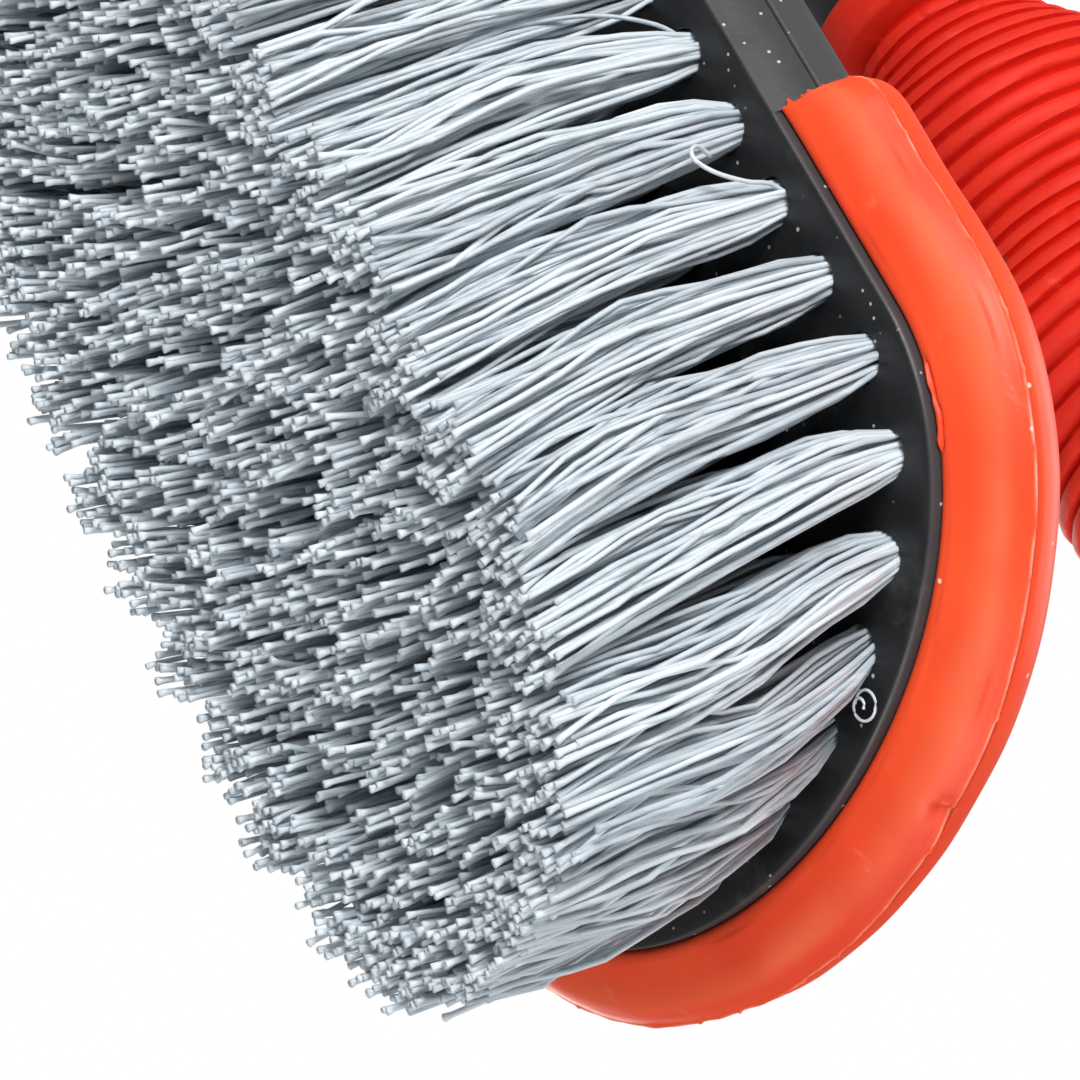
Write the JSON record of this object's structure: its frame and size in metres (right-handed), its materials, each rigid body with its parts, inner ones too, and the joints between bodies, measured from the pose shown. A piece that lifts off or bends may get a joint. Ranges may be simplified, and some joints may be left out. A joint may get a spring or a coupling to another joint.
{
  "type": "wheel brush",
  "caption": "Hand brush for car wheels: rounded block with staple-set tufts, soft nose bumper and a closed iron-style handle with a ribbed soft grip.",
  "frame": {"origin": "centre of the object's outer box, at the bristle tips it stands on", "axes": "+X towards the nose with the bumper, +Z from the bristle tips up to the handle, +Y to the left"},
  "size_m": [0.15, 0.0768, 0.1143],
  "materials": {
    "black_plastic": "satin moulded polypropylene",
    "soft_red": "matte thermoplastic rubber",
    "filament": "satin crimped polypropylene filament",
    "staple_wire": "galvanised flat wire",
    "screw_steel": "zinc-plated"
  },
  "bodies": {
    "root": {"brush_block": "black_plastic", "handle_body": "black_plastic", "nose_bumper": "soft_red", "grip_sleeve": "soft_red", "end_plug": "black_plastic", "block_screws": "screw_steel", "tuft_staples": "staple_wire", "tufts_nose": "filament", "tufts_left": "filament", "tufts_right": "filament", "tufts_heel": "filament", "tufts_row_left_3": "filament", "tufts_row_left_2": "filament", "tufts_row_left_1": "filament", "tufts_row_right_1": "filament", "tufts_row_right_2": "filament", "tufts_row_right_3": "filament"}
  },
  "joints": []
}
